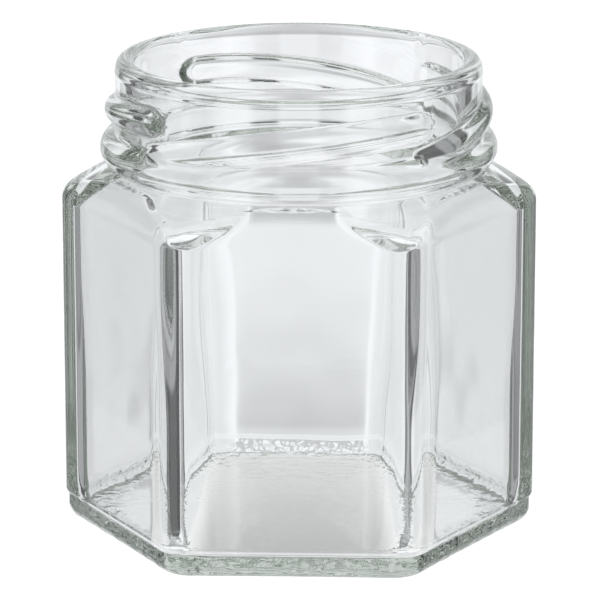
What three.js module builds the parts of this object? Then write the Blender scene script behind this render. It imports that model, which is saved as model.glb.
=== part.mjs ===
// Empty hexagonal glass jar with a four-lug twist-off mouth, one solid piece of glass.
// Millimetres, +Z up. The origin is the middle of the base and one flat panel faces -Y.
// The skin is one closed surface: a profile that runs from the middle of the underside, out and
// up the outside, over the lip and down the inside to the middle of the floor. The profile is
// worked out anew at each angle round the axis, and that turns the round jar into a six-sided one.
import * as THREE from 'three';
import { mergeVertices } from 'three/addons/utils/BufferGeometryUtils.js';

// Outside of the body
const HEIGHT = 52.5;
const ACROSS_FLATS = 46.0;
const CORNER_RADIUS = 3.28;
const HEEL_RADIUS = 1.5;
const HEEL_STEP = 0.27;
const HEEL_STEP_BOTTOM = 2.6;
const HEEL_STEP_TOP = 3.3;
const PUNT_APOTHEM = 17.0;
const PUNT_RISE = 0.8;

// Shoulder: a cone that the six panels cut into, rounded over from one level all round
const SHOULDER_SLOPE = THREE.MathUtils.degToRad(24);
const SHOULDER_REFERENCE_RADIUS = 20.55;
const SHOULDER_REFERENCE_HEIGHT = 40.35;
const SHOULDER_START = 36.55;
const SHOULDER_TOP = 39.95;

// Neck, reinforcing bead and lip
const NECK_RADIUS = 20.0;
const LIP_THICKNESS = 2.25;
const BEAD_HEIGHT = 42.6;
const BEAD_CENTRE_RADIUS = 19.75;
const BEAD_ROUND = 2.0;
const BLEND = 0.45;

// Four right-hand lugs, each leaving the bead and rising to a rounded end
const LUG_COUNT = 4;
const LUG_END_ANGLE = THREE.MathUtils.degToRad(-90 + 46);
const LUG_SPAN = THREE.MathUtils.degToRad(96);
const LUG_END_HEIGHT = 47.7;
const LUG_START_HEIGHT = 43.5;
const LUG_FLATTENING = 1.9;
const LUG_RELIEF = 1.2;
const LUG_HALF_HEIGHT = 1.65;
const LUG_TAPER = THREE.MathUtils.degToRad(7);

// Inside
const UPPER_WALL = 2.8;
const UPPER_EDGE_RADIUS = 1.87;
const UPPER_SWELL_RADIUS = 5.5;
const UPPER_SWELL_SHARE = 0.34;
const LOWER_WALL = 2.55;
const LOWER_EDGE_RADIUS = 1.3;
const LOWER_SWELL_RADIUS = 7.2;
const LOWER_SWELL_SHARE = 0.64;
const UPPER_START = 30.0;
const LOWER_END = 16.0;
const CORNER_FOOT_FADE = 1.5;
const INNER_HEEL_RADIUS = 2.5;
const BORE_EDGE_ROUND = 1.4;
const SHOULDER_THICKNESS = 2.0;
const CEILING_START = 35.6;
const FLOOR_THICKNESS = 1.8;
const FLOOR_CROWN = 0.2;

// Sloped flat facets that close the inside's six corners at the top
const FACET_REACH = 22.9;
const FACET_FOOT = 35.65;
const FACET_SLOPE = 0.78;
const FACET_DROP = 0.022;
const FACET_DROP_LIMIT = 0.4;

// Fineness of the faceted skin
const STEPS_PER_CORNER = 4;
const STEPS_PER_PANEL = 11;
const NECK_ROWS = 20;

const SIXTH = Math.PI / 3;
const BORE_RADIUS = NECK_RADIUS - LIP_THICKNESS;
const LIP_ROUND = LIP_THICKNESS / 2;
const SHOULDER_TURN = Math.PI / 2 - SHOULDER_SLOPE;
const HALF_TURN_TANGENT = Math.tan(SHOULDER_TURN / 2);

// Polar radius of a hexagon with rounded corners, the first corner on +X
function hexagonRadius(angle, apothem, cornerRadius) {
  const fromCorner = Math.abs(THREE.MathUtils.euclideanModulo(angle + SIXTH / 2, SIXTH) - SIXTH / 2);
  const centre = (apothem - cornerRadius) / Math.cos(SIXTH / 2);
  const tangent = cornerArcHalfAngle(apothem, cornerRadius);
  if (fromCorner >= tangent) {
    return apothem / Math.cos(SIXTH / 2 - fromCorner);
  }
  const across = centre * Math.sin(fromCorner);
  return centre * Math.cos(fromCorner) + Math.sqrt(cornerRadius ** 2 - across ** 2);
}

// Angle round the axis from a corner to the point where its arc meets the flat panel
function cornerArcHalfAngle(apothem, cornerRadius) {
  const centre = (apothem - cornerRadius) / Math.cos(SIXTH / 2);
  const out = centre + cornerRadius * Math.cos(SIXTH / 2);
  return Math.atan2(cornerRadius * Math.sin(SIXTH / 2), out);
}

// Points on a circular arc, both ends included
function arc(centreRadius, centreHeight, radius, from, to, steps) {
  const points = [];
  for (let i = 0; i <= steps; i++) {
    const turn = from + ((to - from) * i) / steps;
    const r = centreRadius + radius * Math.cos(turn);
    const z = centreHeight + radius * Math.sin(turn);
    points.push(new THREE.Vector2(r, z));
  }
  return points;
}

// Larger of two radii, with the crease between them filled over a width of BLEND
function blendedMax(a, b) {
  const overlap = Math.max(BLEND - Math.abs(a - b), 0) / BLEND;
  return Math.max(a, b) + (overlap ** 2 * BLEND) / 4;
}

// Height of the shoulder cone at a radius, lowered by a thickness measured square to it
function shoulderHeight(radius, thickness) {
  const drop = thickness / Math.cos(SHOULDER_SLOPE);
  return SHOULDER_REFERENCE_HEIGHT - drop - (radius - SHOULDER_REFERENCE_RADIUS) * Math.tan(SHOULDER_SLOPE);
}

// How far a rounded ridge stands out of the neck at a height away from its middle line
function ridge(offset, halfHeight, relief) {
  const radius = (halfHeight ** 2 + relief ** 2) / (2 * relief);
  return Math.sqrt(Math.max(radius ** 2 - offset ** 2, 0)) - (radius - relief);
}

// Height of a lug's middle line, by the share of its span left before its end
function lugHeight(share) {
  const drop = share ** LUG_FLATTENING * (LUG_END_HEIGHT - LUG_START_HEIGHT);
  return LUG_END_HEIGHT - drop;
}

// Radius of the outside of the neck: wall, bead, shoulder foot and the lugs that pass this angle
function neckRadius(angle, height) {
  const foot = SHOULDER_REFERENCE_RADIUS + (SHOULDER_REFERENCE_HEIGHT - height) / Math.tan(SHOULDER_SLOPE);
  const beadChord = BEAD_ROUND ** 2 - (height - BEAD_HEIGHT) ** 2;
  const bead = BEAD_CENTRE_RADIUS + Math.sqrt(Math.max(beadChord, 0));
  let radius = blendedMax(NECK_RADIUS, bead);
  for (let k = 0; k < LUG_COUNT; k++) {
    const end = LUG_END_ANGLE + (k * 2 * Math.PI) / LUG_COUNT;
    const back = THREE.MathUtils.euclideanModulo(end - angle, 2 * Math.PI);
    if (back < LUG_SPAN) {
      const taper = Math.sqrt(Math.min(1, 1 - (1 - Math.min(back / LUG_TAPER, 1)) ** 2));
      const offset = height - lugHeight(back / LUG_SPAN);
      const relief = ridge(offset / Math.max(taper, 0.01), LUG_HALF_HEIGHT, LUG_RELIEF);
      radius = blendedMax(radius, NECK_RADIUS + relief * taper);
    }
  }
  return blendedMax(radius, foot);
}

// Underside: a shallow dome, the flat ring the jar stands on, the rounded heel and its step
function undersideProfile(angle) {
  const points = [];
  for (const share of [0, 0.45, 0.8]) {
    const r = share * hexagonRadius(angle, PUNT_APOTHEM, CORNER_RADIUS);
    points.push(new THREE.Vector2(r, PUNT_RISE * (1 - share ** 2)));
  }
  points.push(new THREE.Vector2(hexagonRadius(angle, PUNT_APOTHEM, CORNER_RADIUS), 0));
  const foot = hexagonRadius(angle, ACROSS_FLATS / 2 - HEEL_STEP, CORNER_RADIUS);
  points.push(...arc(foot - HEEL_RADIUS, HEEL_RADIUS, HEEL_RADIUS, -Math.PI / 2, 0, 4));
  points.push(new THREE.Vector2(foot, HEEL_STEP_BOTTOM));
  return points;
}

// Body wall from the heel step up and over onto the shoulder. The rounding leaves the wall at one
// level, so its radius follows from how much higher the cone meets the wall at this angle.
function bodyProfile(angle) {
  const wall = hexagonRadius(angle, ACROSS_FLATS / 2, CORNER_RADIUS);
  const rounding = (shoulderHeight(wall, 0) - SHOULDER_START) / HALF_TURN_TANGENT;
  const middle = (HEEL_STEP_TOP + SHOULDER_START) / 2;
  return [
    new THREE.Vector2(wall, HEEL_STEP_TOP),
    new THREE.Vector2(wall, middle),
    ...arc(wall - rounding, SHOULDER_START, rounding, 0, SHOULDER_TURN, 5),
  ];
}

// Neck from the shoulder foot to the lip, then over the lip to the bore
function neckProfile(angle) {
  const points = [];
  const top = HEIGHT - LIP_ROUND;
  for (let i = 0; i < NECK_ROWS; i++) {
    const height = SHOULDER_TOP + ((top - SHOULDER_TOP) * i) / NECK_ROWS;
    points.push(new THREE.Vector2(neckRadius(angle, height), height));
  }
  points.push(...arc(NECK_RADIUS - LIP_ROUND, top, LIP_ROUND, 0, Math.PI, 6));
  return points;
}

// Ramp from 0 to 1 that leaves and arrives level
function smoothStep(x) {
  const clamped = THREE.MathUtils.clamp(x, 0, 1);
  return clamped * clamped * (3 - 2 * clamped);
}

// Six-sided outline mixed from one with tight corners and one with wide swelled corners
function swelledOutline(angle, wall, edgeRadius, swellRadius, share) {
  const apothem = ACROSS_FLATS / 2 - wall;
  const sharp = hexagonRadius(angle, apothem, edgeRadius);
  const swelled = hexagonRadius(angle, apothem, swellRadius);
  return sharp + (swelled - sharp) * share;
}

// Inside wall: it changes smoothly from a lower outline to an upper one, where the glass is
// thicker. Just above the floor the swelled corners take over.
function innerWall(angle, height) {
  const fade = (FLOOR_THICKNESS + INNER_HEEL_RADIUS + CORNER_FOOT_FADE - height) / CORNER_FOOT_FADE;
  const share = LOWER_SWELL_SHARE + (1 - LOWER_SWELL_SHARE) * smoothStep(fade);
  const lower = swelledOutline(angle, LOWER_WALL, LOWER_EDGE_RADIUS, LOWER_SWELL_RADIUS, share);
  const upper = swelledOutline(angle, UPPER_WALL, UPPER_EDGE_RADIUS, UPPER_SWELL_RADIUS, UPPER_SWELL_SHARE);
  return lower + (upper - lower) * smoothStep((height - LOWER_END) / (UPPER_START - LOWER_END));
}

// A ceiling point, lowered to the corner's sloped facet where the facet is the lower of the two.
// The facet falls outwards, and its sides bend down a little.
function underFacet(angle, point) {
  const fromCorner = THREE.MathUtils.euclideanModulo(angle + SIXTH / 2, SIXTH) - SIXTH / 2;
  const drop = Math.min(FACET_DROP * (point.x * Math.sin(fromCorner)) ** 2, FACET_DROP_LIMIT);
  const facet = FACET_FOOT + (FACET_REACH - point.x * Math.cos(fromCorner)) * FACET_SLOPE - drop;
  return new THREE.Vector2(point.x, Math.min(point.y, facet));
}

// Bore's rounded lower edge and the ceiling under the shoulder, out to the inside wall
function ceilingProfile(angle) {
  const edge = shoulderHeight(BORE_RADIUS, SHOULDER_THICKNESS) + BORE_EDGE_ROUND * HALF_TURN_TANGENT;
  const edgeArc = arc(BORE_RADIUS + BORE_EDGE_ROUND, edge, BORE_EDGE_ROUND, Math.PI, Math.PI + SHOULDER_TURN, 3);
  const wall = innerWall(angle, CEILING_START);
  const rounding = (shoulderHeight(wall, SHOULDER_THICKNESS) - CEILING_START) / HALF_TURN_TANGENT;
  const wallArc = arc(wall - rounding, CEILING_START, rounding, SHOULDER_TURN, 0, 5);
  const foot = wallArc.pop();
  const inner = edgeArc[edgeArc.length - 1].x;
  const cone = [1 / 3, 2 / 3].map((share) => {
    const r = inner + (wallArc[0].x - inner) * share;
    return new THREE.Vector2(r, shoulderHeight(r, SHOULDER_THICKNESS));
  });
  const ceiling = [...cone, ...wallArc].map((point) => underFacet(angle, point));
  return [...edgeArc, ...ceiling, foot];
}

// Inside below the ceiling: wall, heel and floor
function insideProfile(angle) {
  const points = [];
  const heel = FLOOR_THICKNESS + INNER_HEEL_RADIUS;
  for (const height of [UPPER_START, LOWER_END, heel + CORNER_FOOT_FADE]) {
    points.push(new THREE.Vector2(innerWall(angle, height), height));
  }
  const foot = innerWall(angle, heel);
  points.push(...arc(foot - INNER_HEEL_RADIUS, heel, INNER_HEEL_RADIUS, 0, -Math.PI / 2, 4));
  for (const share of [0.6, 0.3, 0]) {
    const r = share * (foot - INNER_HEEL_RADIUS);
    points.push(new THREE.Vector2(r, FLOOR_THICKNESS + FLOOR_CROWN * (1 - share ** 2)));
  }
  return points;
}

function profileAt(angle) {
  return [
    ...undersideProfile(angle),
    ...bodyProfile(angle),
    ...neckProfile(angle),
    ...ceilingProfile(angle),
    ...insideProfile(angle),
  ];
}

// Angles of the columns: close together round each corner, wider across each panel
function columnAngles() {
  const angles = [];
  const corner = cornerArcHalfAngle(ACROSS_FLATS / 2, CORNER_RADIUS);
  for (let k = 0; k < 6; k++) {
    for (let i = 0; i < STEPS_PER_CORNER; i++) {
      angles.push(k * SIXTH - corner + (2 * corner * i) / STEPS_PER_CORNER);
    }
    for (let i = 0; i < STEPS_PER_PANEL; i++) {
      angles.push(k * SIXTH + corner + ((SIXTH - 2 * corner) * i) / STEPS_PER_PANEL);
    }
  }
  return angles;
}

// A turned surface whose every column takes the profile of its own angle
function jarGeometry() {
  const angles = columnAngles();
  const rows = profileAt(0).length;
  const turned = new THREE.LatheGeometry(profileAt(0), angles.length);
  const position = turned.attributes.position;
  for (let i = 0; i <= angles.length; i++) {
    const angle = angles[i % angles.length];
    profileAt(angle).forEach((point, j) => {
      position.setXYZ(i * rows + j, point.x * Math.cos(angle), point.x * Math.sin(angle), point.y);
    });
  }
  turned.deleteAttribute('normal');
  turned.deleteAttribute('uv');
  const merged = mergeVertices(turned, 1e-4);
  merged.setIndex(wholeTriangles(merged.index.array));
  merged.computeVertexNormals();
  return merged;
}

// Leaves out the triangles that shrank to a line at the two poles
function wholeTriangles(index) {
  const kept = [];
  for (let i = 0; i < index.length; i += 3) {
    const [a, b, c] = [index[i], index[i + 1], index[i + 2]];
    if (a !== b && b !== c && c !== a) {
      kept.push(a, b, c);
    }
  }
  return kept;
}

const glass = new THREE.MeshStandardMaterial({
  color: 0xdde5e1,
  roughness: 0.04,
  metalness: 0.0,
  transparent: true,
  opacity: 0.35,
});

const jar = new THREE.Mesh(jarGeometry(), glass);
jar.name = 'jar';

const object = new THREE.Group();
object.add(jar);

export default object;
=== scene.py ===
"""Looks of a small empty six-sided glass jar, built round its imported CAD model."""
import math

import bpy
import numpy as np
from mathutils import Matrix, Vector


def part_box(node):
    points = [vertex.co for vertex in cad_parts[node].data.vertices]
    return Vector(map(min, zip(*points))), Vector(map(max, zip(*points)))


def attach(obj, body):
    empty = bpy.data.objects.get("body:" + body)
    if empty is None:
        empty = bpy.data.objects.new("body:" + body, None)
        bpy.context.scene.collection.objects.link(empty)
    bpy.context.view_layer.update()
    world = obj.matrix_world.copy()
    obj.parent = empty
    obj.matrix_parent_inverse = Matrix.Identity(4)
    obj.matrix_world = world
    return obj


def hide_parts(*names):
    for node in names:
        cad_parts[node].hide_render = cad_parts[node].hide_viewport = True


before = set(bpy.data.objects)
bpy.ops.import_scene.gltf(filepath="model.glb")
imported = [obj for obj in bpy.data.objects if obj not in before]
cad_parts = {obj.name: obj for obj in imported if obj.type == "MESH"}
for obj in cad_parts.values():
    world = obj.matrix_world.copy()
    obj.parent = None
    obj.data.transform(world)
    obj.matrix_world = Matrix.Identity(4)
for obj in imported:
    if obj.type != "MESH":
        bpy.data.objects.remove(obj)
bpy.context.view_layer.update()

# Millimetres, as the jar is drawn. Meshes are made in metres.
MM = 0.001

# Outside of the body. Height and width come from the CAD model.
JAR_LOW, JAR_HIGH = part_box("jar")
HEIGHT = (JAR_HIGH[2] - JAR_LOW[2]) / MM
ACROSS_FLATS = (JAR_HIGH[1] - JAR_LOW[1]) / MM
CORNER_RADIUS = 3.28
HEEL_RADIUS = 1.5
HEEL_STEP = 0.27
HEEL_STEP_BOTTOM = 2.6
HEEL_STEP_TOP = 3.3
PUNT_APOTHEM = 17.0
PUNT_RISE = 0.3

# Shoulder: a cone that the six panels cut into, rounded over from one level
SHOULDER_SLOPE = math.radians(24)
SHOULDER_REFERENCE_RADIUS = 20.55
SHOULDER_REFERENCE_HEIGHT = 40.35
SHOULDER_START = 36.55
SHOULDER_TOP = 39.95

# Neck, reinforcing bead and lip
NECK_RADIUS = 20.0
LIP_THICKNESS = 2.25
BEAD_HEIGHT = 42.6
BEAD_CENTRE_RADIUS = 19.75
BEAD_ROUND = 2.0
BLEND = 0.45

# Four right-hand lugs, each leaving the bead and rising to a rounded end
LUG_COUNT = 4
LUG_END_ANGLE = math.radians(-90 + 46)
LUG_SPAN = math.radians(96)
LUG_END_HEIGHT = 47.7
LUG_START_HEIGHT = 43.5
LUG_FLATTENING = 1.9
LUG_RELIEF = 1.2
LUG_HALF_HEIGHT = 1.65
LUG_TAPER = math.radians(7)
LEAST_TAPER = 0.01

# Mould seam just under the lip
SEAM_HEIGHT = 51.0
SEAM_HALF_WIDTH = 0.3
SEAM_RELIEF = 0.06

# Inside
UPPER_WALL = 2.8
UPPER_EDGE_RADIUS = 1.87
UPPER_SWELL_RADIUS = 5.5
UPPER_SWELL_SHARE = 0.34
LOWER_WALL = 2.55
LOWER_EDGE_RADIUS = 1.3
LOWER_SWELL_RADIUS = 7.2
LOWER_SWELL_SHARE = 0.64
UPPER_START = 30.0
LOWER_END = 16.0
CORNER_FOOT_FADE = 1.5
INNER_HEEL_RADIUS = 1.4
SHOULDER_THICKNESS = 2.0
CEILING_START = 35.6
FACET_REACH = 22.9
FACET_FOOT = 35.65
FACET_SLOPE = 0.78
FACET_DROP = 0.022
FACET_DROP_LIMIT = 0.4
FACET_BLEND = 0.2
BORE_EDGE_ROUND = 1.4
FLOOR_THICKNESS = 1.8
FLOOR_CROWN = 0.2

SIXTH = math.pi / 3
BORE_RADIUS = NECK_RADIUS - LIP_THICKNESS
LIP_ROUND = LIP_THICKNESS / 2
SHOULDER_TURN = math.pi / 2 - SHOULDER_SLOPE
HALF_TURN_TANGENT = math.tan(SHOULDER_TURN / 2)

# Fineness of the skin: columns round the axis, and steps along each stretch of the profile
COLUMNS = 336
CORNER_CROWDING = 0.78
PUNT_STEPS = 13
RIB_STEPS = 8
HEEL_STEPS = 12
HEEL_STEP_STEPS = 8
WALL_STEPS = 25
SHOULDER_STEPS = 14
NECK_STEPS = 79
LIP_STEPS = 24
BORE_STEPS = 13
BORE_EDGE_STEPS = 10
CEILING_STEPS = 14
CEILING_ARC_STEPS = 16
INNER_WALL_STEPS = 27
INNER_HEEL_STEPS = 14
FLOOR_STEPS = 13

# Slow waves of the inside wall, and how far from the ceiling and the heel they fade out.
# A wave is its number round the jar, radians for each millimetre of height, phase and weight.
RIPPLE = 0.012
RIPPLE_FADE = 5.0
RIPPLE_WAVES = [(11, 0.31, 0.4, 1.0), (19, -0.53, 2.1, 0.6), (7, 0.97, 4.4, 0.8)]

# Small dents round the heel, whose waves climb with the share of the heel's rounding,
# and low ribs moulded under it
HEEL_MOTTLE = 0.14
MOTTLE_WAVES = [(31, 5.0, 1.3, 1.0), (43, -7.0, 2.1, 1.0), (57, 9.0, 0.7, 1.0)]
RIB_COUNT = 84
RIB_DEPTH = 0.1
RIB_INNER_APOTHEM = 18.0

# Glass
GLASS_IOR = 1.52
GLASS_ABSORPTION = 60.0
GLASS_TINT = (0.805, 0.829, 0.8, 1.0)

# Stippling of the heel: full up to one height, gone at another, and faint near the axis
STIPPLE_SCALE = 620.0
STIPPLE_DETAIL = 1.0
STIPPLE_DEPTH = 0.25
STIPPLE_FULL = 1.9
STIPPLE_TOP = 3.0
STIPPLE_INNER = 17.5
STIPPLE_OUTER = 20.5
STIPPLE_ON_FLOOR = 0.05

# Camera, fitted to the photograph's outline
CAMERA_DISTANCE = 460.0
CAMERA_ELEVATION = math.radians(14.62)
CAMERA_AZIMUTH = math.radians(2.0)
CAMERA_TARGET_HEIGHT = 24.98
CAMERA_TARGET_RIGHT = 0.13
LENS_LENGTH = 249.84
SENSOR_WIDTH = 36.0

# Pale floor, in metres, and the shaded patch of it under the jar, in millimetres. The patch's shade is
# painted: it glows less than the floor, least at the front
FLOOR_RADIUS = 3.0
FLOOR_SIDES = 64
FLOOR_COLOUR = (0.1, 0.1, 0.1, 1.0)
FLOOR_ROUGHNESS = 0.6
FLOOR_GLOW = 0.98
# Painted shade: glow strengths of the patch in place of a cast shadow
SHADE_GLOW_FRONT = 0.42
SHADE_GLOW_BACK = 0.75
SHADE_CORE = 9.0
SHADE_HALF_WIDTH = 13.5
SHADE_HALF_DEPTH = 20.0
SHADE_GAP = 0.1

# Studio light: tall white screens round the jar, with darker gaps between them. Each list
# gives azimuths, in degrees to either side of the back of the picture, and their light.
# Directions that slope gently read the high lights, steeper ones the low lights, and the
# steepest the light of the table. Either side ends straight behind the camera.
LIGHT_COLOUR = (0.983, 1.0, 1.026)
GAP = 0.09
BRIGHT_CORNER = [(24, 1.05), (28, 1.05), (32, GAP)]
HIGH_SCREEN = [(0, 0.87), (1, 0.89), (2.2, 1.01), (3.4, 0.98), (6, 0.94), (20, 0.94)]
LOW_SCREEN = [(0, 0.54), (1, 0.6), (2.2, 1.04), (3.4, 1.0), (6, 0.86), (20, 0.86)]
DIM_SCREENS = [(40, GAP), (42, 0.42), (49, 0.42), (51, 0.2), (54, 0.33), (63, 0.33), (66, GAP)]
SIDE_SCREEN = [(83, GAP), (85, 1.0), (102, 1.0), (105, GAP)]
FRONT_SCREEN = [(120, GAP), (123, 1.0), (147, 1.0), (150, GAP)]
BEHIND_CAMERA = [(165, GAP), (168, 1.0), (180, 1.0)]
AROUND = BRIGHT_CORNER + DIM_SCREENS + SIDE_SCREEN + FRONT_SCREEN + BEHIND_CAMERA
HIGH_LIGHTS = HIGH_SCREEN + AROUND
LOW_LIGHTS = LOW_SCREEN + AROUND
TABLE_LIGHTS = [(0, 0.6), (5, 0.68), (15, 0.9), (40, 1.1), (180, 1.1)]
FULL_SIDE = 180

# Height of a direction one unit long, where one list gives way to the next
LOW_SLOPE = (0.226, 0.29)
TABLE_SLOPE = (0.42, 0.64)

# Sockets of a Mix node that mixes colours, which share their names with its other sockets
MIX_FIRST = 6
MIX_SECOND = 7
MIX_RESULT = 2

# Light paths inside the glass
BOUNCES = 32


def hexagon_radius(angle, apothem, corner_radius):
    """Polar radius of a six-sided outline with rounded corners, the first corner on +X.

    Near a corner it is the far side of a circle whose centre is on the corner's line:
    centre * cos(t) + sqrt(corner_radius^2 - (centre * sin(t))^2), t being the angle from the
    corner. Elsewhere it is the straight side, apothem / cos(angle from the side's middle).
    """
    from_corner = np.abs(np.mod(angle + SIXTH / 2, SIXTH) - SIXTH / 2)
    centre = (apothem - corner_radius) / math.cos(SIXTH / 2)
    reach = centre + corner_radius * math.cos(SIXTH / 2)
    tangent = np.arctan2(corner_radius * math.sin(SIXTH / 2), reach)
    side = apothem / np.cos(SIXTH / 2 - from_corner)
    chord = corner_radius**2 - (centre * np.sin(from_corner))**2
    corner = centre * np.cos(from_corner) + np.sqrt(np.maximum(chord, 0))
    return np.where(from_corner >= tangent, side, corner)


def blended_max(a, b):
    """Larger of two radii, with the crease between them filled over a width of BLEND."""
    overlap = np.maximum(BLEND - np.abs(a - b), 0) / BLEND
    return np.maximum(a, b) + overlap**2 * BLEND / 4


def smooth_step(x):
    """Ramp from 0 to 1 that leaves and arrives level: 3x^2 - 2x^3."""
    x = np.clip(x, 0, 1)
    return x * x * (3 - 2 * x)


def shoulder_height(radius, thickness):
    """Height of the shoulder cone at a radius, sunk by a thickness measured square to it."""
    drop = thickness / math.cos(SHOULDER_SLOPE)
    outwards = radius - SHOULDER_REFERENCE_RADIUS
    return SHOULDER_REFERENCE_HEIGHT - drop - outwards * math.tan(SHOULDER_SLOPE)


def ridge(offset, half_height, relief):
    """Circular cross-section of a raised ridge, by the offset from its middle line."""
    radius = (half_height**2 + relief**2) / (2 * relief)
    return np.sqrt(np.maximum(radius**2 - offset**2, 0)) - (radius - relief)


def neck_radius(angle, height):
    """Outside of the neck: the largest of wall, bead, four lugs and shoulder foot, blended.

    A lug's middle line drops from its end by share^LUG_FLATTENING of its whole fall, share
    being how far back along its span the angle lies, and its end is a rounded taper. The
    mould seam is a low hump, relief * (1 - offset^2)^2, offset being a share of half its width.
    """
    foot = SHOULDER_REFERENCE_RADIUS + (SHOULDER_REFERENCE_HEIGHT - height) / math.tan(SHOULDER_SLOPE)
    bead = BEAD_CENTRE_RADIUS + np.sqrt(np.maximum(BEAD_ROUND**2 - (height - BEAD_HEIGHT)**2, 0))
    radius = blended_max(NECK_RADIUS, bead)
    for k in range(LUG_COUNT):
        end = LUG_END_ANGLE + k * 2 * math.pi / LUG_COUNT
        back = np.mod(end - angle, 2 * math.pi)
        share = np.minimum(back / LUG_SPAN, 1)
        middle = LUG_END_HEIGHT - share**LUG_FLATTENING * (LUG_END_HEIGHT - LUG_START_HEIGHT)
        taper = np.sqrt(np.clip(1 - (1 - np.minimum(back / LUG_TAPER, 1))**2, 0, 1))
        relief = ridge((height - middle) / np.maximum(taper, LEAST_TAPER), LUG_HALF_HEIGHT, LUG_RELIEF)
        lug = blended_max(radius, NECK_RADIUS + relief * taper)
        radius = np.where(back < LUG_SPAN, lug, radius)
    seam = SEAM_RELIEF * max(1 - ((height - SEAM_HEIGHT) / SEAM_HALF_WIDTH)**2, 0)**2
    return blended_max(radius, foot) + seam


def swelled_outline(angle, wall, edge_radius, swell_radius, share):
    """Six-sided outline mixed from one with tight corners and one with wide swelled corners."""
    apothem = ACROSS_FLATS / 2 - wall
    sharp = hexagon_radius(angle, apothem, edge_radius)
    swelled = hexagon_radius(angle, apothem, swell_radius)
    return sharp + (swelled - sharp) * share


def inner_wall(angle, height):
    """Polar radius of the inside wall at a height.

    It changes smoothly from a lower outline to an upper one, where the glass is thicker. Just
    above the floor the swelled corners take over.
    """
    fade = (FLOOR_THICKNESS + INNER_HEEL_RADIUS + CORNER_FOOT_FADE - height) / CORNER_FOOT_FADE
    share = LOWER_SWELL_SHARE + (1 - LOWER_SWELL_SHARE) * smooth_step(fade)
    lower = swelled_outline(angle, LOWER_WALL, LOWER_EDGE_RADIUS, LOWER_SWELL_RADIUS, share)
    upper = swelled_outline(angle, UPPER_WALL, UPPER_EDGE_RADIUS, UPPER_SWELL_RADIUS, UPPER_SWELL_SHARE)
    return lower + (upper - lower) * smooth_step((height - LOWER_END) / (UPPER_START - LOWER_END))


def crossing_waves(angle, along, waves):
    """Weighted mean of sines, sin(number * angle + climb * along + phase), from -1 to 1."""
    total = sum(weight * np.sin(number * angle + climb * along + phase)
                for number, climb, phase, weight in waves)
    return total / sum(weight for number, climb, phase, weight in waves)


def ripple(angle, height):
    """Slow unevenness of the inside: crossing waves that fade towards ceiling and floor."""
    above_heel = smooth_step((height - FLOOR_THICKNESS - INNER_HEEL_RADIUS) / RIPPLE_FADE)
    fade = above_heel * smooth_step((CEILING_START - height) / RIPPLE_FADE)
    return RIPPLE * fade * crossing_waves(angle, height, RIPPLE_WAVES)


def heel_mottle(angle, share):
    """Small dents of the heel: crossing waves, deepest halfway up its rounding."""
    swell = math.sin(math.pi * share)**2
    return HEEL_MOTTLE * swell * (1 + crossing_waves(angle, share, MOTTLE_WAVES)) / 2


def arc_rows(centre_radius, centre_height, radius, start, end, steps):
    """Rows of a circular arc in the plane through the axis, both ends included."""
    turns = np.linspace(start, end, steps + 1)
    return [(centre_radius + radius * math.cos(t), centre_height + radius * math.sin(t)) for t in turns]


def underside_rows(angle):
    """Shallow dome of the underside, the flat ring the jar stands on, and the rounded heel."""
    rows = []
    punt = hexagon_radius(angle, PUNT_APOTHEM, CORNER_RADIUS)
    for share in np.linspace(0, 1, PUNT_STEPS + 1):
        rows.append((share * punt, PUNT_RISE * (1 - share**2)))
    foot = hexagon_radius(angle, ACROSS_FLATS / 2 - HEEL_STEP, CORNER_RADIUS)
    ring_inner = hexagon_radius(angle, RIB_INNER_APOTHEM, CORNER_RADIUS)
    ring_outer = foot - HEEL_RADIUS
    ribs = RIB_DEPTH * (0.5 - 0.5 * np.cos(RIB_COUNT * angle))
    for share in np.linspace(0, 1, RIB_STEPS + 1)[1:-1]:
        fade = math.sin(math.pi * share)**2
        rows.append((ring_inner + (ring_outer - ring_inner) * share, ribs * fade))
    arc = arc_rows(foot - HEEL_RADIUS, HEEL_RADIUS, HEEL_RADIUS, -math.pi / 2, 0, HEEL_STEPS)
    for step, (radius, height) in enumerate(arc):
        rows.append((radius - heel_mottle(angle, step / HEEL_STEPS), height))
    return rows


def body_rows(angle):
    """Heel step, straight wall and the rounding up onto the shoulder cone.

    The rounding leaves the wall at one level all round, so its radius is what reaches the
    cone from there: (cone height at the wall - start) / tan(half the turn).
    """
    rows = []
    foot = hexagon_radius(angle, ACROSS_FLATS / 2 - HEEL_STEP, CORNER_RADIUS)
    wall = hexagon_radius(angle, ACROSS_FLATS / 2, CORNER_RADIUS)
    for share in np.linspace(0, 1, HEEL_STEP_STEPS + 1):
        height = HEEL_STEP_BOTTOM + (HEEL_STEP_TOP - HEEL_STEP_BOTTOM) * share
        rows.append((foot + (wall - foot) * smooth_step(share), height))
    for height in np.linspace(HEEL_STEP_TOP, SHOULDER_START, WALL_STEPS + 1)[1:-1]:
        rows.append((wall, height))
    rounding = (shoulder_height(wall, 0) - SHOULDER_START) / HALF_TURN_TANGENT
    rows += arc_rows(wall - rounding, SHOULDER_START, rounding, 0, SHOULDER_TURN, SHOULDER_STEPS)
    return rows


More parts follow.
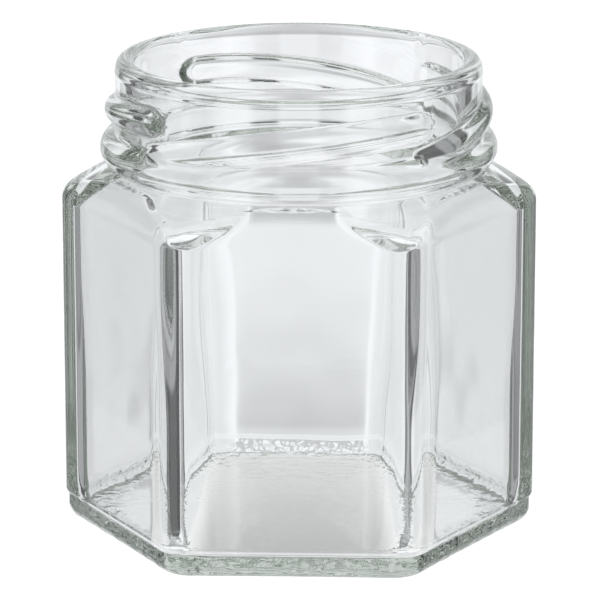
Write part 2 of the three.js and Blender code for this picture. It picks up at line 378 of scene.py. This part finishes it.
def neck_rows(angle):
    """Neck from the shoulder foot to the lip, over the lip and down the bore."""
    rows = []
    top = HEIGHT - LIP_ROUND
    for height in np.linspace(SHOULDER_TOP, top, NECK_STEPS + 1)[:-1]:
        rows.append((neck_radius(angle, height), height))
    rows += arc_rows(NECK_RADIUS - LIP_ROUND, top, LIP_ROUND, 0, math.pi, LIP_STEPS)
    edge = shoulder_height(BORE_RADIUS, SHOULDER_THICKNESS) + BORE_EDGE_ROUND * HALF_TURN_TANGENT
    for height in np.linspace(top, edge, BORE_STEPS + 1)[1:-1]:
        rows.append((BORE_RADIUS, height))
    centre = BORE_RADIUS + BORE_EDGE_ROUND
    end = math.pi + SHOULDER_TURN
    rows += arc_rows(centre, edge, BORE_EDGE_ROUND, math.pi, end, BORE_EDGE_STEPS)
    return rows


def under_facet(angle, radius, height):
    """Ceiling height with the six corners cut by sloped facets, the crease blended.

    A facet falls outwards from the cone: foot + (reach - radius * cos(t)) * slope, t being the
    angle from the corner, less drop * (radius * sin(t))^2 up to a limit, so its sides bend down.
    The ceiling is the smaller of the two heights.
    """
    from_corner = np.mod(angle + SIXTH / 2, SIXTH) - SIXTH / 2
    drop = np.minimum(FACET_DROP * (radius * np.sin(from_corner))**2, FACET_DROP_LIMIT)
    facet = FACET_FOOT + (FACET_REACH - radius * np.cos(from_corner)) * FACET_SLOPE - drop
    overlap = np.maximum(FACET_BLEND - np.abs(height - facet), 0) / FACET_BLEND
    return np.minimum(height, facet) - overlap**2 * FACET_BLEND / 4


def ceiling_rows(angle):
    """Ceiling under the shoulder, from the bore's edge out to the inside wall."""
    wall = inner_wall(angle, CEILING_START)
    rounding = (shoulder_height(wall, SHOULDER_THICKNESS) - CEILING_START) / HALF_TURN_TANGENT
    arc = arc_rows(wall - rounding, CEILING_START, rounding, SHOULDER_TURN, 0, CEILING_ARC_STEPS)
    outer = arc[0][0]
    inner = BORE_RADIUS + BORE_EDGE_ROUND * (1 - math.cos(SHOULDER_TURN))
    rows = []
    for share in np.linspace(0, 1, CEILING_STEPS + 1)[1:-1]:
        radius = inner + (outer - inner) * share
        rows.append((radius, shoulder_height(radius, SHOULDER_THICKNESS)))
    rows += arc[:-1]
    return [(radius, under_facet(angle, radius, height)) for radius, height in rows] + arc[-1:]


def inside_rows(angle):
    """Ceiling, inside wall, inside heel and floor."""
    rows = ceiling_rows(angle)
    heel = FLOOR_THICKNESS + INNER_HEEL_RADIUS
    for height in np.linspace(CEILING_START, heel, INNER_WALL_STEPS + 1)[1:-1]:
        rows.append((inner_wall(angle, height) + ripple(angle, height), height))
    foot = inner_wall(angle, heel)
    edge = foot - INNER_HEEL_RADIUS
    rows += arc_rows(edge, heel, INNER_HEEL_RADIUS, 0, -math.pi / 2, INNER_HEEL_STEPS)
    for share in np.linspace(1, 0, FLOOR_STEPS + 1)[1:]:
        rows.append((share * edge, FLOOR_THICKNESS + FLOOR_CROWN * (1 - share**2)))
    return rows


def column_angles():
    """Angles of the columns, crowded at the six corners: u - crowding * sin(6u) / 6."""
    u = np.arange(COLUMNS) * 2 * math.pi / COLUMNS
    return u - CORNER_CROWDING * np.sin(6 * u) / 6


def profile_grid(angle):
    """Radius and height of the whole skin as two arrays, one row for each profile point."""
    rows = underside_rows(angle) + body_rows(angle) + neck_rows(angle) + inside_rows(angle)
    radius = np.array([np.broadcast_to(r, angle.shape) for r, z in rows])
    height = np.array([np.broadcast_to(z, angle.shape) for r, z in rows])
    return radius, height


def skin_mesh(name):
    """The jar's closed skin: each grid row is a ring, and a fan closes each pole."""
    angle = column_angles()
    radius, height = profile_grid(angle)
    rings = np.stack([radius * np.cos(angle), radius * np.sin(angle), height], -1)[1:-1]
    count = len(rings)
    under_pole = [[0, 0, height[0, 0]]]
    floor_pole = [[0, 0, height[-1, 0]]]
    points = np.concatenate([under_pole, floor_pole, rings.reshape(-1, 3)]) * MM
    here = np.arange(COLUMNS)
    after = (here + 1) % COLUMNS
    low = 2 + np.arange(count - 1)[:, None] * COLUMNS
    high = low + COLUMNS
    quads = np.stack([low + here, low + after, high + after, high + here], -1).reshape(-1, 4)
    last = 2 + (count - 1) * COLUMNS
    under_fan = np.stack([np.zeros(COLUMNS, int), 2 + after, 2 + here], -1)
    floor_fan = np.stack([np.ones(COLUMNS, int), last + here, last + after], -1)
    mesh = bpy.data.meshes.new(name)
    mesh.from_pydata(points.tolist(), [], quads.tolist() + under_fan.tolist() + floor_fan.tolist())
    mesh.polygons.foreach_set("use_smooth", np.ones(len(mesh.polygons), bool))
    mesh.update()
    return mesh


def feed(tree, socket, value):
    """Links an input to another node's output, or sets it to a plain number."""
    if isinstance(value, bpy.types.NodeSocket):
        tree.links.new(value, socket)
    else:
        socket.default_value = value


def math_node(tree, operation, first, second=0.0):
    """Result of a Math node on outputs or plain numbers."""
    node = tree.nodes.new("ShaderNodeMath")
    node.operation = operation
    feed(tree, node.inputs[0], first)
    feed(tree, node.inputs[1], second)
    return node.outputs[0]


def map_range(tree, value, between, low=0.0, high=1.0, kind="SMOOTHSTEP"):
    """Turns a value between two limits into one between low and high."""
    node = tree.nodes.new("ShaderNodeMapRange")
    node.interpolation_type = kind
    feed(tree, node.inputs["Value"], value)
    feed(tree, node.inputs["From Min"], between[0])
    feed(tree, node.inputs["From Max"], between[1])
    feed(tree, node.inputs["To Min"], low)
    feed(tree, node.inputs["To Max"], high)
    return node.outputs["Result"]


def position_and_parts(tree, output):
    """A point of the surface, or a direction of the world, and its X, Y and Z."""
    place = tree.nodes.new("ShaderNodeTexCoord").outputs[output]
    split = tree.nodes.new("ShaderNodeSeparateXYZ")
    tree.links.new(place, split.inputs[0])
    return place, split.outputs


def stipple(tree):
    """Fine unevenness of the heel: a noise bump, faint towards the axis and gone above the heel."""
    place, parts = position_and_parts(tree, "Object")
    noise = tree.nodes.new("ShaderNodeTexNoise")
    noise.inputs["Scale"].default_value = STIPPLE_SCALE
    noise.inputs["Detail"].default_value = STIPPLE_DETAIL
    tree.links.new(place, noise.inputs["Vector"])
    distance = tree.nodes.new("ShaderNodeVectorMath")
    distance.operation = "LENGTH"
    tree.links.new(place, distance.inputs[0])
    fade = map_range(tree, parts["Z"], (STIPPLE_FULL * MM, STIPPLE_TOP * MM), 1.0, 0.0)
    ring = (STIPPLE_INNER * MM, STIPPLE_OUTER * MM)
    near_heel = map_range(tree, distance.outputs["Value"], ring, STIPPLE_ON_FLOOR, 1.0)
    bump = tree.nodes.new("ShaderNodeBump")
    bump.inputs["Distance"].default_value = STIPPLE_DEPTH * MM
    tree.links.new(noise.outputs["Fac"], bump.inputs["Height"])
    tree.links.new(math_node(tree, "MULTIPLY", fade, near_heel), bump.inputs["Strength"])
    return bump.outputs["Normal"]


def clear_glass():
    """Clear glass with a faint grey-green tint that gathers in its thick edges."""
    material = bpy.data.materials.new("clear_glass")
    material.use_nodes = True
    tree = material.node_tree
    shader = tree.nodes["Principled BSDF"]
    shader.inputs["Base Color"].default_value = (1, 1, 1, 1)
    shader.inputs["Roughness"].default_value = 0.0
    shader.inputs["IOR"].default_value = GLASS_IOR
    shader.inputs["Transmission Weight"].default_value = 1.0
    volume = tree.nodes.new("ShaderNodeVolumeAbsorption")
    volume.inputs["Color"].default_value = GLASS_TINT
    volume.inputs["Density"].default_value = GLASS_ABSORPTION
    tree.links.new(volume.outputs["Volume"], tree.nodes["Material Output"].inputs["Volume"])
    tree.links.new(stipple(tree), shader.inputs["Normal"])
    return material


def add_jar():
    """The jar: one glass piece in place of the CAD node."""
    jar = bpy.data.objects.new("glass_jar", skin_mesh("glass_jar"))
    bpy.context.collection.objects.link(jar)
    jar.data.materials.append(clear_glass())
    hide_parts("jar")
    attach(jar, "root")


def pale_floor():
    """Plain pale floor finish that glows evenly, so the picture's ground stays white."""
    material = bpy.data.materials.new("floor")
    material.use_nodes = True
    shader = material.node_tree.nodes["Principled BSDF"]
    shader.inputs["Base Color"].default_value = FLOOR_COLOUR
    shader.inputs["Roughness"].default_value = FLOOR_ROUGHNESS
    shader.inputs["Emission Color"].default_value = (1, 1, 1, 1)
    shader.inputs["Emission Strength"].default_value = FLOOR_GLOW
    return material


def shaded_floor():
    """Glowing floor patch under the jar with painted shade: darker at the front, and as light as the
    floor at its sides.
    """
    material = bpy.data.materials.new("shaded_floor")
    material.use_nodes = True
    tree = material.node_tree
    shader = tree.nodes["Principled BSDF"]
    shader.inputs["Base Color"].default_value = (0, 0, 0, 1)
    shader.inputs["Specular IOR Level"].default_value = 0
    shader.inputs["Emission Color"].default_value = (1, 1, 1, 1)
    parts = position_and_parts(tree, "Object")[1]
    depth = (-SHADE_HALF_DEPTH * MM, SHADE_HALF_DEPTH * MM)
    # Painted shade: the glow falls from back to front and rises to the floor's glow at the sides
    glow = map_range(tree, parts["Y"], depth, SHADE_GLOW_FRONT, SHADE_GLOW_BACK, "LINEAR")
    across = math_node(tree, "ABSOLUTE", parts["X"])
    glow = map_range(tree, across, (SHADE_CORE * MM, SHADE_HALF_WIDTH * MM), glow, FLOOR_GLOW)
    tree.links.new(glow, shader.inputs["Emission Strength"])
    return material


def floor_piece(name, points, faces, material):
    """Mesh object for one part of the floor."""
    mesh = bpy.data.meshes.new(name)
    mesh.from_pydata(points.tolist(), [], faces)
    mesh.materials.append(material)
    piece = bpy.data.objects.new(name, mesh)
    bpy.context.collection.objects.link(piece)
    return piece


def add_floor():
    """Plain round floor that turns up into a wall far off.

    Seen through the glass, the screens take its place.
    """
    turns = np.arange(FLOOR_SIDES) * 2 * math.pi / FLOOR_SIDES
    edge = np.stack([np.cos(turns), np.sin(turns), np.zeros(FLOOR_SIDES)], -1) * FLOOR_RADIUS
    top = edge + (0, 0, FLOOR_RADIUS)
    here = np.arange(FLOOR_SIDES)
    after = (here + 1) % FLOOR_SIDES
    wall = np.stack([after, here, here + FLOOR_SIDES, after + FLOOR_SIDES], -1)
    faces = [here.tolist()] + wall.tolist()
    floor = floor_piece("floor", np.concatenate([edge, top]), faces, pale_floor())
    floor.visible_transmission = False
    floor.visible_glossy = False
    floor.visible_diffuse = False
    floor.visible_shadow = False


def add_shaded_floor():
    """The floor that the jar stands on, its soft shade painted in as a weaker glow. It shows through
    the base alone.
    """
    corners = np.array([(-1, -1, -1), (1, -1, -1), (1, 1, -1), (-1, 1, -1)])
    points = corners * (SHADE_HALF_WIDTH, SHADE_HALF_DEPTH, SHADE_GAP) * MM
    shade = floor_piece("shaded_floor", points, [(0, 1, 2, 3)], shaded_floor())


def light_ramp(tree, share, stops):
    """Brightness read off a list of azimuths in degrees and their light."""
    node = tree.nodes.new("ShaderNodeValToRGB")
    tree.links.new(share, node.inputs["Fac"])
    elements = node.color_ramp.elements
    for place, light in stops[2:]:
        elements.new(place / FULL_SIDE)
    for element, (place, light) in zip(elements, stops):
        element.position = place / FULL_SIDE
        element.color = (*[light * part for part in LIGHT_COLOUR], 1)
    return node.outputs["Color"]


def blend_by_slope(tree, slope, between, gentle, steep):
    """Mixes two lights by how steeply the direction looks up or down."""
    mix = tree.nodes.new("ShaderNodeMix")
    mix.data_type = "RGBA"
    tree.links.new(map_range(tree, slope, between), mix.inputs["Factor"])
    tree.links.new(gentle, mix.inputs[MIX_FIRST])
    tree.links.new(steep, mix.inputs[MIX_SECOND])
    return mix.outputs[MIX_RESULT]


def add_screens():
    """Soft light from white screens: brightness goes by the azimuth of the direction.

    The azimuth from the back of the picture, as a share of a half turn, reads three lists of
    light, and the slope of the direction blends them.
    """
    world = bpy.data.worlds.new("studio")
    bpy.context.scene.world = world
    world.use_nodes = True
    tree = world.node_tree
    parts = position_and_parts(tree, "Generated")[1]
    azimuth = math_node(tree, "ARCTAN2", parts["X"], parts["Y"])
    away = math_node(tree, "ABSOLUTE", math_node(tree, "ADD", azimuth, CAMERA_AZIMUTH))
    share = math_node(tree, "DIVIDE", away, math.pi)
    slope = math_node(tree, "ABSOLUTE", parts["Z"])
    high = light_ramp(tree, share, HIGH_LIGHTS)
    low = light_ramp(tree, share, LOW_LIGHTS)
    table = light_ramp(tree, share, TABLE_LIGHTS)
    around = blend_by_slope(tree, slope, LOW_SLOPE, high, low)
    light = blend_by_slope(tree, slope, TABLE_SLOPE, around, table)
    tree.links.new(light, tree.nodes["Background"].inputs["Color"])


def add_camera():
    """Camera at the photograph's angle: a little above the jar and just right of its front."""
    data = bpy.data.cameras.new("camera")
    data.lens = LENS_LENGTH
    data.sensor_width = SENSOR_WIDTH
    camera = bpy.data.objects.new("camera", data)
    bpy.context.collection.objects.link(camera)
    level = math.cos(CAMERA_ELEVATION)
    back = Vector((
        math.sin(CAMERA_AZIMUTH) * level,
        -math.cos(CAMERA_AZIMUTH) * level,
        math.sin(CAMERA_ELEVATION),
    ))
    right = Vector((math.cos(CAMERA_AZIMUTH), math.sin(CAMERA_AZIMUTH), 0))
    target = Vector((0, 0, CAMERA_TARGET_HEIGHT)) + right * CAMERA_TARGET_RIGHT
    camera.location = (target + back * CAMERA_DISTANCE) * MM
    camera.rotation_euler = (-back).to_track_quat("-Z", "Y").to_euler()
    bpy.context.scene.camera = camera


def allow_many_bounces():
    """Lets light cross and bounce inside the thick glass as often as it needs to get out."""
    cycles = bpy.context.scene.cycles
    cycles.max_bounces = BOUNCES
    cycles.glossy_bounces = BOUNCES
    cycles.transmission_bounces = BOUNCES


add_camera()
add_jar()
add_floor()
add_shaded_floor()
add_screens()
allow_many_bounces()
bpy.context.scene.view_settings.view_transform = "Standard"
